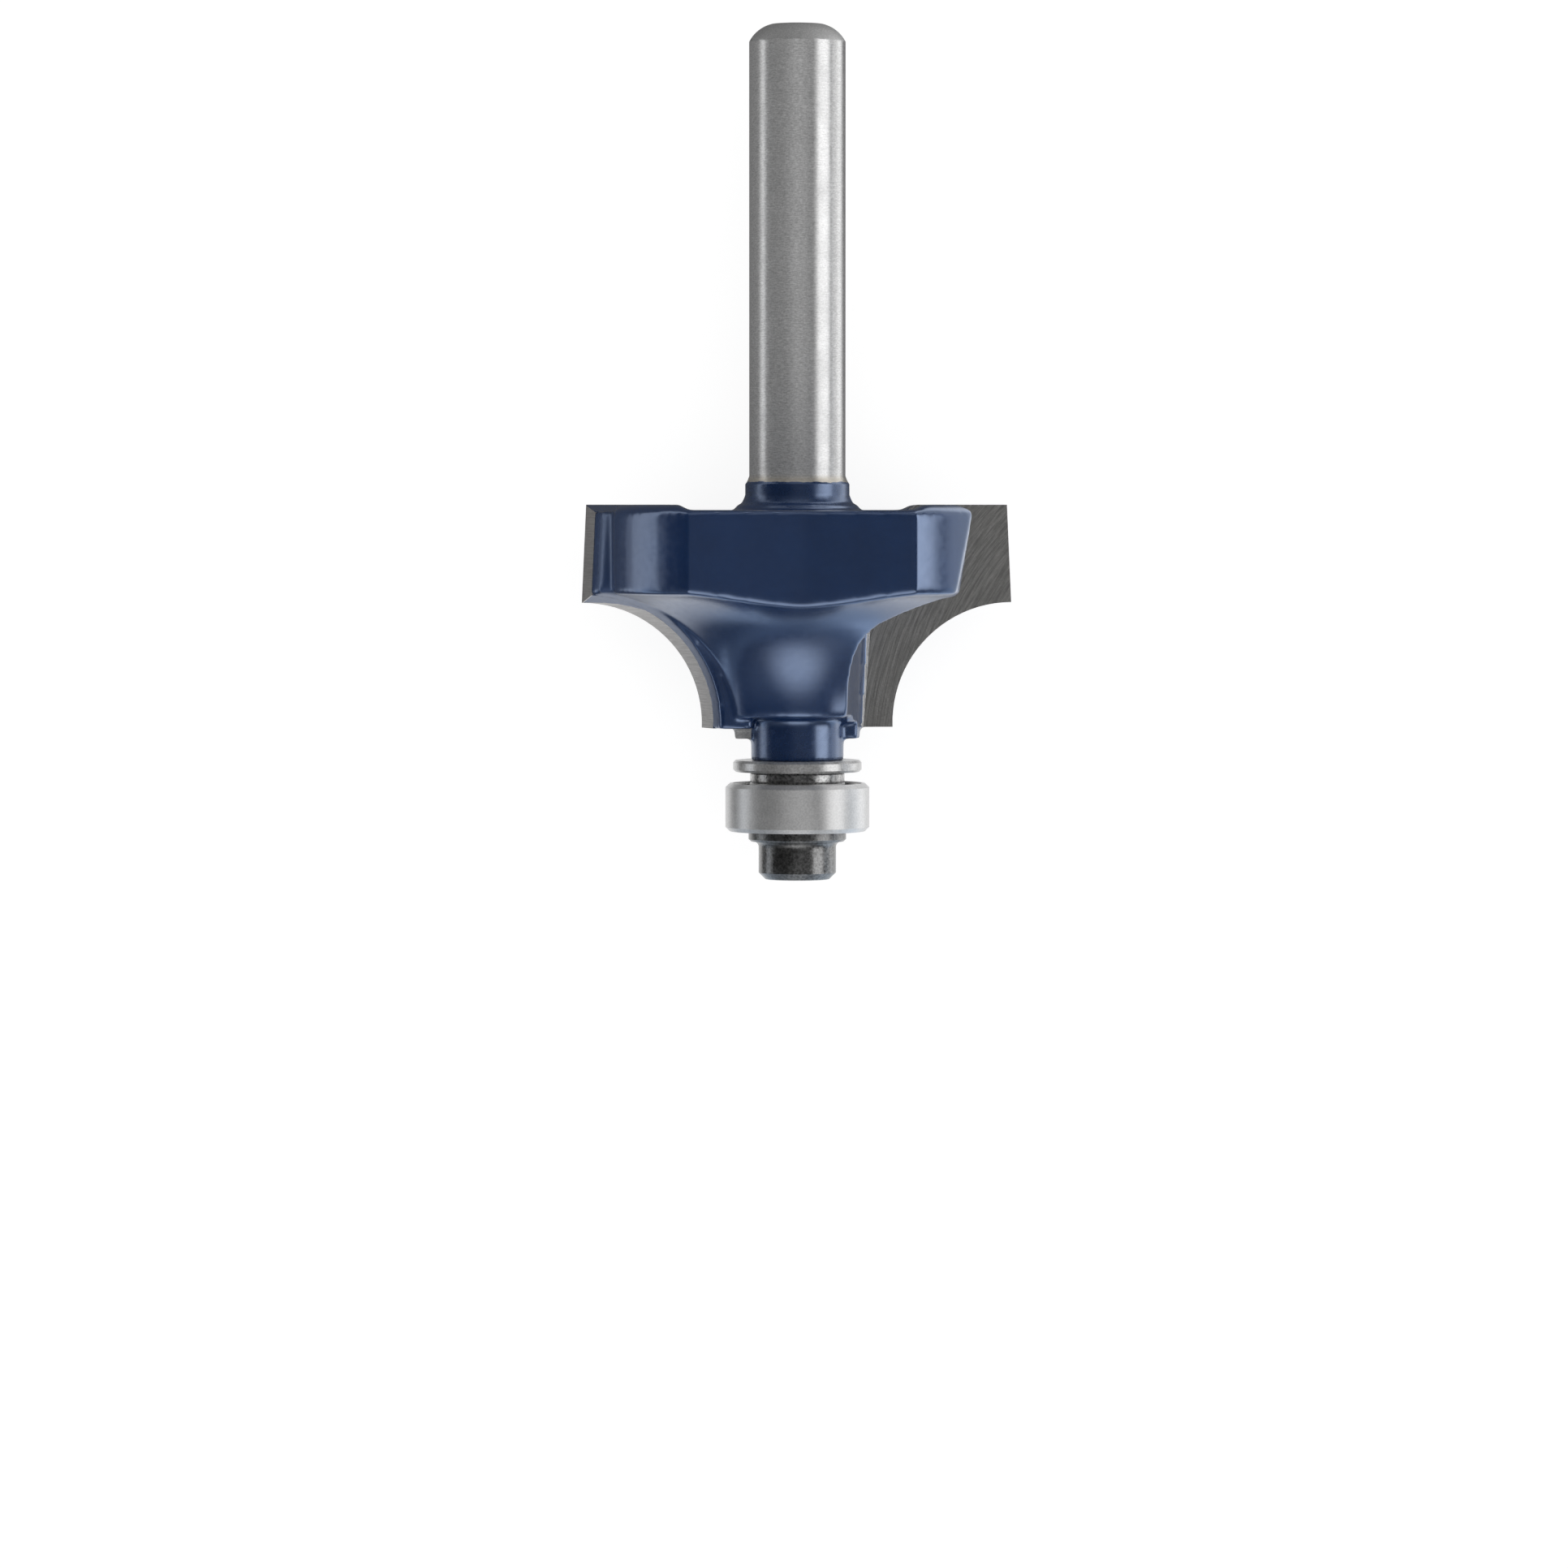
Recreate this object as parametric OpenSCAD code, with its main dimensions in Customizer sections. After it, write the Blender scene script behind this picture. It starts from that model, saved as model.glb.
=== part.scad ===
// Beading and round-over router bit with two carbide tips and a ball-bearing pilot.
// It is drawn upright, shank up, with the pilot screw's end at z = 0 and the bit's axis on Z,
// and then laid on the ridges of its rear flats, shank along +Y, with the middle of its length at y = 0.

/* [Shank and neck] */
// Diameter of the shank
shank_d = 6.35; // [6:0.05:8]
// Length of bare shank above the neck
shank_length = 29.7; // [20:0.1:40]
// Height of the chamfer at the shank's end
shank_chamfer_h = 1.15; // [0.4:0.05:2]
// How far the shank's end chamfer goes in
shank_chamfer_w = 1.45; // [0.4:0.05:1.8]
// Radius of that chamfer's crown
shank_crown_r = 2.2; // [1.5:0.1:4]
// Diameter of the collar at the foot of the shank
collar_d = 6.84; // [6.5:0.02:8]
// Length of the collar
collar_length = 0.7; // [0.3:0.1:3]
// Height of the flare from the collar to the shank
flare_h = 0.53; // [0.2:0.01:1]
// Diameter of the flared neck where it meets the cutter body
neck_d = 8.1; // [7.6:0.1:9]
// Height of the flared neck
neck_h = 1; // [0.6:0.1:2]
// Radius of the neck's hollow curve
neck_flare_r = 2; // [1.5:0.1:4]

/* [Cutting profile] */
// Radius of the cove that the tips cut
cove_r = 7.94; // [7.5:0.02:8.2]
// Distance from the axis to the inner cutting edges
inner_r = 6.35; // [6.2:0.01:6.6]
// Height of the straight cutting edge above the cove
edge_h = 6.45; // [5.5:0.05:8]
// How much the straight cutting edge leans in towards its top
edge_taper = 2.6; // [0:0.1:4]
// Depth of the straight stretch below the cove
lead_h = 0.3; // [0.1:0.05:0.5]
// Turn of the wings about the axis, from square to the flats
wing_turn = 5.7; // [0:0.1:8]

/* [Carbide tips] */
// Thickness of a tip
tip_t = 2; // [1.6:0.1:2.4]
// Distance from the axis to a tip's inner edge, at its lower end
tip_inner_r = 4.43; // [4.35:0.01:4.8]
// Lean of a tip's inner edge away from the axis
tip_lean = 4; // [2:0.1:6]
// Relief angle behind the cove's edge
cove_relief = 15; // [8:0.5:20]
// Relief angle of a tip behind the straight edge
edge_relief = 12; // [8:0.5:20]
// Drop of the top face from the cutting face to the back of the tip
top_relief_h = 0.45; // [0.2:0.05:0.7]

/* [Cutter body] */
// How far the cutting edges stand out beyond the body, which limits the depth of cut
edge_lead = 0.79; // [0.5:0.01:1.2]
// Gap between the tips' cove and the body's underside
cove_clearance = 0.66; // [0.4:0.02:1]
// Thickness of a wing behind the cutting face, tip included
wing_t = 3.4; // [3:0.05:4]
// Relief angle of the steel behind a tip, at the straight edge
land_relief = 26; // [15:0.5:30]
// How far a tip's own relief runs on into the steel behind it
relief_run = 0.15; // [0.05:0.01:0.3]
// Width of the step between a wing's back and the lobe behind it
step_w = 0.71; // [0.4:0.01:1]
// Lean of the step's wall, outward from the wing's back
step_lean = 7; // [0:1:15]
// Height of the pedestal's foot above the tips' lower ends
foot_rise = 0.72; // [0.5:0.02:1]
// Depth of the channel across the top of the body
channel_depth = 0.35; // [0.1:0.05:0.8]
// Half the width of that channel
channel_half_w = 7.4; // [6:0.1:9]
// Rounding of the lands beside the channel
channel_round_r = 0.7; // [0.3:0.05:1.2]
// Height of the bevel round the top rim
rim_bevel_h = 0.45; // [0.2:0.05:0.8]
// Width of that bevel
rim_bevel_w = 0.8; // [0.3:0.05:1.5]

/* [Flats] */
// Distance from the axis to the crease between the two flats of a pair
flat_depth = 10.7; // [10:0.05:11.5]
// Angle by which each flat leans outward from the crease
flat_tilt = 4.7; // [2:0.1:7]

/* [Gullets] */
// Width of the steel strip between the gullet's root and a tip
strip_w = 0.24; // [0.15:0.01:0.4]
// Lean of the root wall towards the axis, away from the cutting face
root_lean = 17.8; // [12:0.1:20]
// Distance from the cutting face to the gullet's far wall
gullet_w = 6.94; // [5.5:0.02:7.5]
// Flare of the far wall, away from the cutting face
gullet_flare = 7.1; // [2:0.1:9]
// Radius between the root wall and the far wall
gullet_corner_r = 2.2; // [1:0.1:2.8]
// Tilt of the gullet away from the axis, towards the shank
gullet_tilt = 2.5; // [1:0.1:4]
// How much of the far wall the lobe's bevel takes off, at the band's lower edge
lobe_bevel_w = 1.04; // [0.5:0.02:1.5]
// Lean of that bevel, outward towards the shank
lobe_bevel_lean = 9.2; // [4:0.1:12]
// Turn of that bevel away from square to the cutting face
lobe_bevel_turn = 16; // [8:0.5:24]

/* [Stem] */
// Length of the stem from the washer to the tips' lower ends
stem_length = 2.17; // [1:0.01:6]
// Diameter of the stem under the cutter body
stem_d = 6.12; // [5.8:0.02:6.4]
// Radius of the fillet between the stem and the pedestal
stem_fillet_r = 0.5; // [0.2:0.05:0.8]
// Diameter of the ground shoulder left at each wing's foot
shoulder_d = 8.4; // [8:0.05:8.6]
// Height of that shoulder below the wing's lower end
shoulder_h = 0.74; // [0.4:0.02:1.2]
// Distance from the axis to the shoulder's inner side
shoulder_x = 2.82; // [2.6:0.02:3]
// How far the shoulder's underside runs level into the gullet, before it rises
shoulder_flat = 1.8; // [1:0.1:2.4]
// Slope of the rising part of that underside
shoulder_slope = 0.25; // [0.1:0.05:0.5]
// Distance from the axis to the back corner of a wing's lower end, where it clears the stem
foot_x = 3.45; // [3.2:0.05:3.8]
// How far the shoulder reaches behind the cutting face
shoulder_back = 0.6; // [0.2:0.1:2]
// Clearance between the pilot pin and what sits on it, on the radius
pin_clearance = 0.01; // [0.01:0.01:0.05]
// Gap between the pin's end and the screw's flange
pin_end_gap = 0.25; // [0.15:0.05:0.5]

/* [Washer and spacer] */
// Outer diameter of the shield washer
washer_d = 8.5; // [7.6:0.05:9]
// Thickness of the shield washer
washer_t = 0.76; // [0.5:0.02:1.2]
// Outer diameter of the spacer ring
spacer_d = 6.25; // [6:0.01:6.3]
// Thickness of the spacer ring
spacer_t = 0.76; // [0.5:0.02:1.2]
// Rounding of the washer's and spacer's rims
washer_edge = 0.15; // [0.05:0.01:0.2]

/* [Pilot bearing] */
// Outer diameter of the bearing
bearing_d = 9.525; // [9.3:0.005:9.8]
// Bore of the bearing
bearing_bore_d = 4.7625; // [4.6:0.0025:4.9]
// Width of the bearing
bearing_w = 3.175; // [3.1:0.005:3.5]
// Diameter of a ball
ball_d = 1.588; // [1.5:0.002:1.6]
// Clearance between a ball and its tracks and pocket
ball_clearance = 0.02; // [0.01:0.005:0.04]
// Wall of the inner ring, from its bore to its shoulders
inner_ring_wall = 0.77; // [0.7:0.01:0.8]
// Wall of the outer ring, from its shoulders to its rim
outer_ring_wall = 0.74; // [0.68:0.01:0.8]
// Chamfer of the outer ring's corners
ring_chamfer = 0.28; // [0.1:0.02:0.3]
// Thickness of a bearing shield
shield_t = 0.15; // [0.1:0.01:0.2]
// Depth of a shield below the bearing's face
shield_inset = 0.26; // [0.24:0.01:0.28]
// Gap between a shield's hole and the inner ring
shield_gap = 0.12; // [0.1:0.01:0.15]
// Radial thickness of the ball cage
cage_t = 0.46; // [0.3:0.02:0.5]
// Height of the cage's solid rim beyond the balls' centres
cage_back = 0.95; // [0.9:0.01:0.96]
// Height of the cage's fingers on the open side
cage_front = 0.4; // [0.3:0.02:0.6]

/* [Pilot screw] */
// Diameter of the screw's head
head_d = 5.12; // [4.8:0.02:5.4]
// Height of the head below its flange
head_h = 2.5; // [2.2:0.05:3]
// How far the flange stands out beyond the head
flange_rim = 0.67; // [0.55:0.01:0.75]
// Thickness of the flange
flange_t = 0.67; // [0.4:0.01:1]
// Radius of the fillet between head and flange
head_fillet_r = 0.4; // [0.2:0.02:0.5]
// Chamfer at the end of the head
head_chamfer = 0.43; // [0.2:0.01:0.5]
// Width of the hex socket across its flats
socket_af = 2.38; // [2:0.02:2.5]
// Depth of the hex socket
socket_depth = 1.7; // [1:0.1:1.9]
// Diameter of the screw's thread
thread_d = 2.84; // [2.4:0.02:3]
// Length of the thread under the flange
thread_length = 8; // [6:0.1:10]
// Clearance between the thread and its hole, on the radius
thread_clearance = 0.02; // [0.01:0.01:0.05]

/* [Hidden] */
$fn = 48;
BALL_COUNT = 8;

// Reach of a cutting solid past what it cuts
over = 1;
// Reach of a cutting solid past the whole body
far = 40;
// Overlap that keeps two cuts from leaving a film between them
hair = 0.001;
// How far a wing's lower end runs into the stem
foot_lap = 0.06;

// Heights, from the screw's end up
bearing_z = head_h + flange_t;
spacer_z = bearing_z + bearing_w;
washer_z = spacer_z + spacer_t;
stem_z = washer_z + washer_t;
tip_z = stem_z + stem_length;
cove_z = tip_z + lead_h;
corner_z = cove_z + cove_r;
top_z = corner_z + edge_h;
foot_z = tip_z + foot_rise;
shoulder_z = tip_z - shoulder_h;
channel_z = top_z - channel_depth;
collar_z = channel_z + neck_h;
collar_top_z = collar_z + collar_length;
shank_z = collar_top_z + flare_h;
end_z = shank_z + shank_length;
ball_z = bearing_z + bearing_w / 2;

// Radii of the cutting edge, of the body behind it and of the gullet's root beside the cutting face
edge_r = inner_r + cove_r;
body_r = edge_r - edge_lead;
body_cove_r = cove_r + cove_clearance;
root_r = tip_inner_r - strip_w;

// X where a wall at distance a from the axis, of slope b, meets the round body
function meets_body(a, b) = (sqrt(body_r * body_r * (1 + b * b) - a * a) - a * b) / (1 + b * b);

// Ridges of the rear flats, on which the bit lies
tilt_slope = tan(flat_tilt);
rest_h = flat_depth + meets_body(flat_depth, tilt_slope) * tilt_slope;

// Where the steel's relief starts behind the cutting face, and how far the reliefs drop to there
// and to the wing's back
land_y = tip_t + relief_run;
tip_drop = land_y * tan(edge_relief);
land_drop = tip_drop + (wing_t - land_y) * tan(land_relief);

// Shoulders of the bearing's rings and the circle through the balls' centres, midway in the bearing
inner_ring_d = bearing_bore_d + 2 * inner_ring_wall;
outer_ring_in_d = bearing_d - 2 * outer_ring_wall;
ball_pitch_d = (bearing_bore_d + bearing_d) / 2;

// Seats of the bearing's shields and of the wire snap rings that hold them
snap_wire_r = 0.09;
seat_w = 0.25;
snap_play = 0.02;
shield_out_r = outer_ring_in_d / 2 + seat_w;
snap_r = shield_out_r - snap_play;
snap_opening = 24;
seat_gap = 0.01;

// Screw's flange, pilot pin and screw hole
flange_d = head_d + 2 * flange_rim;
pin_r = bearing_bore_d / 2 - pin_clearance;
pin_z = bearing_z + pin_end_gap;
hole_r = thread_d / 2 + thread_clearance;
hole_extra = 1.6;
hole_top_z = bearing_z + thread_length + hole_extra;
hole_cone = 118;
screw_tip_chamfer = 0.4;

// Lays the upright bit down, shank along +Y
module laid() {
    translate([0, -end_z / 2, rest_h]) rotate([-90, 0, 0]) children();
}

// Turns a piece of the right-hand wing into place, and repeats it on the other wing
module wing(i) {
    rotate([0, 0, wing_turn + 180 * i]) children();
}

module both_wings() {
    for (i = [0, 1]) wing(i) children();
}

// Extrudes an outline drawn in X and Z along Y, from y = a to y = b
module slab(a, b) {
    translate([0, b, 0]) rotate([90, 0, 0]) linear_extrude(height = b - a) children();
}

// The turned steel above the cutter body: neck, collar, flare and chamfered shank
module shank() {
    rotate_extrude() difference() {
        polygon([[0, foot_z], [neck_d / 2, foot_z], [neck_d / 2, channel_z],
                 [neck_d / 2, collar_z], [collar_d / 2, collar_z],
                 [collar_d / 2, collar_top_z], [shank_d / 2, shank_z],
                 [shank_d / 2, end_z - shank_chamfer_h],
                 [shank_d / 2 - shank_chamfer_w, end_z], [0, end_z]]);
        neck_flare();
    }
    rotate_extrude() shank_crown();
}

// The crown of the shank's end chamfer, as a circle through the chamfer's two ends
module shank_crown() {
    chord = norm([shank_chamfer_w, shank_chamfer_h]);
    middle = [(shank_d - shank_chamfer_w) / 2, end_z - shank_chamfer_h / 2];
    outward = [shank_chamfer_h, shank_chamfer_w] / chord;
    intersection() {
        translate(middle - sqrt(shank_crown_r * shank_crown_r - chord * chord / 4) * outward)
            circle(r = shank_crown_r);
        translate([0, end_z - shank_chamfer_h]) square([shank_d / 2, shank_chamfer_h]);
    }
}

// The hollow curve of the neck, as a circle through its two ends
module neck_flare() {
    neck_w = (neck_d - collar_d) / 2;
    chord = norm([neck_w, neck_h]);
    middle = [(neck_d + collar_d) / 4, channel_z + neck_h / 2];
    outward = [neck_h, neck_w] / chord;
    intersection() {
        translate(middle + sqrt(neck_flare_r * neck_flare_r - chord * chord / 4) * outward)
            circle(r = neck_flare_r, $fn = 128);
        translate([collar_d / 2, channel_z]) square([neck_d, neck_h]);
    }
}

// The turned steel below the cutter body: filleted stem and pilot pin
module stem() {
    rotate_extrude() difference() {
        polygon([[0, pin_z], [pin_r, pin_z], [pin_r, stem_z], [stem_d / 2, stem_z],
                 [stem_d / 2, foot_z - stem_fillet_r], [stem_d / 2 + stem_fillet_r, foot_z],
                 [stem_d / 2 + stem_fillet_r, foot_z + over], [0, foot_z + over]]);
        translate([stem_d / 2 + stem_fillet_r, foot_z - stem_fillet_r]) circle(r = stem_fillet_r);
    }
}

// The round cutter body before its flats and gullets: hollow underside, band and bevelled rim
module body_blank() {
    rotate_extrude($fn = 128) difference() {
        polygon([[0, foot_z], [body_r, foot_z], [body_r, top_z - rim_bevel_h],
                 [body_r - rim_bevel_w, top_z], [0, top_z]]);
        translate([edge_r, cove_z]) circle(r = body_cove_r, $fn = 192);
        translate([edge_r, 0]) square([far, cove_z + body_cove_r]);
    }
}

// The pair of flats at the rear, which meet at a shallow crease
module flats() {
    translate([0, 0, -over]) linear_extrude(height = far)
        polygon([[0, flat_depth], [far, flat_depth + far * tilt_slope], [far, far],
                 [-far, far], [-far, flat_depth + far * tilt_slope]]);
}

// The gullet in front of the right-hand wing: a tilted slot with a rounded corner
module gullet() {
    root_dir = [-sin(root_lean), -cos(root_lean)];
    root_in = [cos(root_lean), -sin(root_lean)];
    wall_dir = [cos(gullet_flare), -sin(gullet_flare)];
    wall_in = [sin(gullet_flare), cos(gullet_flare)];
    wall_at = [0, -gullet_w];
    start = [root_r, 0] + gullet_corner_r * root_in;
    run = (gullet_corner_r - (start - wall_at) * wall_in) / (root_dir * wall_in);
    centre = start + run * root_dir;
    translate([0, 0, tip_z]) rotate([0, gullet_tilt, 0]) translate([0, 0, -tip_z - over])
        linear_extrude(height = far) {
            polygon([[root_r, 0], centre - gullet_corner_r * root_in, centre,
                     centre - gullet_corner_r * wall_in,
                     centre - gullet_corner_r * wall_in + far * wall_dir, [far, 0]]);
            translate(centre) circle(r = gullet_corner_r);
        }
}

// The bevel that leans along the lobe's edge, where the gullet's far wall meets the band
module lobe_bevel() {
    x = meets_body(gullet_w, tan(gullet_flare)) - lobe_bevel_w;
    translate([x, -gullet_w - x * tan(gullet_flare), cove_z + body_cove_r])
        rotate([0, 0, -lobe_bevel_turn]) rotate([0, lobe_bevel_lean, 0])
            translate([0, -far, -far]) cube([far, far + over, 2 * far]);
}

// The step cut beside a wing's back, so that the lobe stays behind the land
module land_step() {
    x = edge_r - land_drop - step_w;
    translate([0, 0, corner_z - over]) linear_extrude(height = far)
        polygon([[x, wing_t - over], [x, wing_t], [x + far * tan(step_lean), wing_t + far],
                 [2 * far, wing_t + far], [2 * far, wing_t - over]]);
}

// The outline of a wing in X and Z, from x = a outward, before its cove and its reliefs
module wing_outline(a, lean) {
    polygon([[a, tip_z], [edge_r, tip_z], [edge_r, top_z], [a + (top_z - tip_z) * tan(lean), top_z]]);
}

// The cone that cuts the cove and its relief, growing from the cutting face backward
module cove_cut() {
    translate([edge_r, 0, cove_z]) rotate([-90, 0, 0])
        translate([0, 0, -over])
            cylinder(h = wing_t + 2 * over, r1 = cove_r - over * tan(cove_relief),
                     r2 = cove_r + (wing_t + over) * tan(cove_relief), $fn = 192);
}

// The wedge that cuts the two reliefs and the taper of the straight edge
module edge_cut() {
    translate([edge_r, 0, corner_z]) rotate([0, -edge_taper, 0]) translate([0, 0, -over])
        linear_extrude(height = far)
            polygon([[over * tan(edge_relief), -over], [far, -over], [far, far],
                     [-land_drop - over * tan(land_relief), wing_t + over], [-tip_drop, land_y]]);
}

// The relief of the top face, which drops to the back of the tip and then runs level
module top_cut() {
    translate([channel_half_w, 0, 0]) rotate([90, 0, 90]) linear_extrude(height = far)
        polygon([[-over, top_z + over * top_relief_h / tip_t], [tip_t, top_z - top_relief_h],
                 [wing_t + over, top_z - top_relief_h], [wing_t + over, far], [-over, far]]);
}

module reliefs() {
    cove_cut();
    edge_cut();
    top_cut();
}

// The shallow channel that crosses the top of the body, between lands with rounded ends
module channel() {
    rise = min(channel_round_r, channel_depth);
    half_w = channel_half_w + sqrt(rise * (2 * channel_round_r - rise));
    slab(-far, far) difference() {
        translate([-half_w, channel_z]) square([2 * half_w, channel_depth + over]);
        for (m = [0, 1]) mirror([m, 0]) {
            translate([half_w, top_z - channel_round_r]) circle(r = channel_round_r);
            translate([channel_half_w, channel_z - over]) square([far, over + channel_depth - rise]);
        }
    }
}

// The ground shoulder left at a wing's foot
module shoulder() {
    rise = foot_z + over - shoulder_z;
    intersection() {
        translate([0, 0, shoulder_z]) cylinder(h = rise, d = shoulder_d);
        translate([shoulder_x, 0, shoulder_z]) rotate([90, 0, 90]) linear_extrude(height = far)
            polygon([[shoulder_back, 0], [shoulder_back, rise],
                     [-shoulder_flat - rise / shoulder_slope, rise], [-shoulder_flat, 0]]);
    }
}

// The room round the stem under a wing's lower end
module foot_cut() {
    x = stem_d / 2 - foot_lap;
    y = sqrt(stem_d * stem_d / 4 - x * x);
    translate([0, 0, tip_z - over]) linear_extrude(height = foot_z - tip_z + over)
        polygon([[-over, -over], [x, -over], [x, y],
                 [foot_x + over * (foot_x - x) / (wing_t - y), wing_t + over], [-over, wing_t + over]]);
}

// The steel wing behind the cutting face
module wing_steel() {
    difference() {
        slab(0, wing_t) wing_outline(0, 0);
        reliefs();
        slab(-over, tip_t) tip_seat_outline();
        foot_cut();
    }
}

// The pocket that a tip is brazed into, open outward and at both ends
module tip_seat_outline() {
    polygon([[tip_inner_r - over * tan(tip_lean), tip_z - over], [far, tip_z - over],
             [far, top_z + over],
             [tip_inner_r + (top_z + over - tip_z) * tan(tip_lean), top_z + over]]);
}

// The lobes between the flats and the gullets, without the room that the wings take
module lobes() {
    difference() {
        union() {
            body_blank();
            both_wings() shoulder();
        }
        flats();
        rotate([0, 0, 180]) flats();
        both_wings() {
            gullet();
            lobe_bevel();
            land_step();
            translate([root_r, -hair, 0]) cube([far, wing_t + hair, far]);
        }
    }
}

module cutter_body() {
    color("#3d557c") laid() difference() {
        union() {
            lobes();
            both_wings() wing_steel();
            shank();
            stem();
        }
        difference() {
            channel();
            translate([0, 0, channel_z - over]) cylinder(h = far, d = neck_d);
        }
        translate([0, 0, pin_z - over]) cylinder(h = hole_top_z - pin_z + over, r = hole_r);
        translate([0, 0, hole_top_z])
            cylinder(h = hole_r / tan(hole_cone / 2), r1 = hole_r, r2 = 0);
    }
}

module carbide_tip(i) {
    color("#6c6b69") laid() difference() {
        wing(i) difference() {
            slab(0, tip_t) wing_outline(tip_inner_r, tip_lean);
            reliefs();
        }
        channel();
    }
}

// A flat ring with softened rims
module flat_ring(z, outer_d, thickness) {
    bore_r = bearing_bore_d / 2;
    rotate_extrude() polygon([
        [bore_r, z], [outer_d / 2 - washer_edge, z], [outer_d / 2, z + washer_edge],
        [outer_d / 2, z + thickness - washer_edge], [outer_d / 2 - washer_edge, z + thickness],
        [bore_r, z + thickness]]);
}

module shield_washer() {
    color("#b9b9b6") laid() flat_ring(washer_z, washer_d, washer_t);
}

module spacer_ring() {
    color("#6f6d6b") laid() flat_ring(spacer_z, spacer_d, spacer_t);
}

// The track that the balls run in, as a full ring of round section
module ball_track() {
    translate([ball_pitch_d / 2, ball_z]) circle(r = ball_d / 2 + ball_clearance);
}

module bearing_outer_ring() {
    r_out = bearing_d / 2;
    r_in = outer_ring_in_d / 2;
    color("#a9a9a6") laid() rotate_extrude() difference() {
        polygon([[r_in, bearing_z], [r_out - ring_chamfer, bearing_z],
                 [r_out, bearing_z + ring_chamfer], [r_out, spacer_z - ring_chamfer],
                 [r_out - ring_chamfer, spacer_z], [r_in, spacer_z]]);
        ball_track();
        for (m = [0, 1]) translate([0, m * 2 * ball_z]) mirror([0, m]) {
            translate([0, bearing_z - over])
                square([shield_out_r + seat_gap, over + shield_inset + shield_t + seat_gap]);
            translate([snap_r, bearing_z + shield_inset - snap_wire_r - seat_gap])
                circle(r = snap_wire_r + seat_gap, $fn = 24);
        }
    }
}

module bearing_inner_ring() {
    bore_chamfer = 0.12;
    bore_r = bearing_bore_d / 2;
    color("#a3a3a0") laid() rotate_extrude() difference() {
        polygon([[bore_r + bore_chamfer, bearing_z], [inner_ring_d / 2, bearing_z],
                 [inner_ring_d / 2, spacer_z], [bore_r + bore_chamfer, spacer_z],
                 [bore_r, spacer_z - bore_chamfer], [bore_r, bearing_z + bore_chamfer]]);
        ball_track();
    }
}

// Places something at each ball's centre, the ball's own axis along the bit
module at_ball(i) {
    rotate([0, 0, i * 360 / BALL_COUNT]) translate([ball_pitch_d / 2, 0, ball_z]) children();
}

module bearing_cage() {
    color("#8f8a78") laid() difference() {
        rotate_extrude() translate([(ball_pitch_d - cage_t) / 2, ball_z - cage_back])
            square([cage_t, cage_back + cage_front]);
        for (i = [0 : BALL_COUNT - 1]) at_ball(i) sphere(r = ball_d / 2 + ball_clearance);
    }
}

module ball(i) {
    color("#c9c9c7") laid() at_ball(i) sphere(d = ball_d);
}

// A bearing shield; m = 1 mirrors it to the upper face
module shield(m) {
    r_in = inner_ring_d / 2 + shield_gap;
    color("#9d9d9b") laid() rotate_extrude()
        translate([0, m * 2 * ball_z]) mirror([0, m])
            translate([r_in, bearing_z + shield_inset]) square([shield_out_r - r_in, shield_t]);
}

// The wire snap ring that holds a shield, open at one place
module snap_ring(m) {
    z = bearing_z + shield_inset - snap_wire_r - seat_gap;
    color("#8c8c8a") laid() translate([0, 0, m * 2 * ball_z]) mirror([0, 0, m])
        rotate([0, 0, snap_opening / 2]) rotate_extrude(angle = 360 - snap_opening)
            translate([snap_r, z]) circle(r = snap_wire_r, $fn = 24);
}

module pilot_screw() {
    socket_r = socket_af / 2 / cos(30);
    flange_round = 0.15;
    root_x = head_d / 2 + head_fillet_r;
    color("#3f3c39") laid() difference() {
        rotate_extrude() difference() {
            polygon([[0, 0], [head_d / 2 - head_chamfer, 0], [head_d / 2, head_chamfer],
                     [head_d / 2, head_h - head_fillet_r], [root_x, head_h],
                     [flange_d / 2 - flange_round, head_h], [flange_d / 2, head_h + flange_round],
                     [flange_d / 2, bearing_z], [thread_d / 2, bearing_z],
                     [thread_d / 2, bearing_z + thread_length - screw_tip_chamfer],
                     [thread_d / 2 - screw_tip_chamfer, bearing_z + thread_length],
                     [0, bearing_z + thread_length]]);
            translate([root_x, head_h - head_fillet_r]) circle(r = head_fillet_r);
        }
        translate([0, 0, -over]) cylinder(h = socket_depth + over, r = socket_r, $fn = 6);
        translate([0, 0, socket_depth]) cylinder(h = socket_r / 2, r1 = socket_af / 2, r2 = 0);
    }
}

cutter_body();
carbide_tip(0);  // carbide_tip_1
carbide_tip(1);  // carbide_tip_2
shield_washer();
spacer_ring();
bearing_outer_ring();
bearing_inner_ring();
bearing_cage();
ball(0);  // ball_1
ball(1);  // ball_2
ball(2);  // ball_3
ball(3);  // ball_4
ball(4);  // ball_5
ball(5);  // ball_6
ball(6);  // ball_7
ball(7);  // ball_8
shield(1);  // shield_upper
shield(0);  // shield_lower
snap_ring(1);  // snap_ring_upper
snap_ring(0);  // snap_ring_lower
pilot_screw();
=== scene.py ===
"""Looks of the router bit: camera, floor, lights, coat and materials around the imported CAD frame.

Lengths are in millimetres, the depths of bumps in micrometres, angles are written in degrees and
colours go from 0 to 255, unless a comment says otherwise. A pair (start, full) says where a zone
of a material starts and where it is full, and the first may be the greater one.
"""

import math
from contextlib import contextmanager

import bmesh
import bpy
from mathutils import Matrix, Vector, noise

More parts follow.
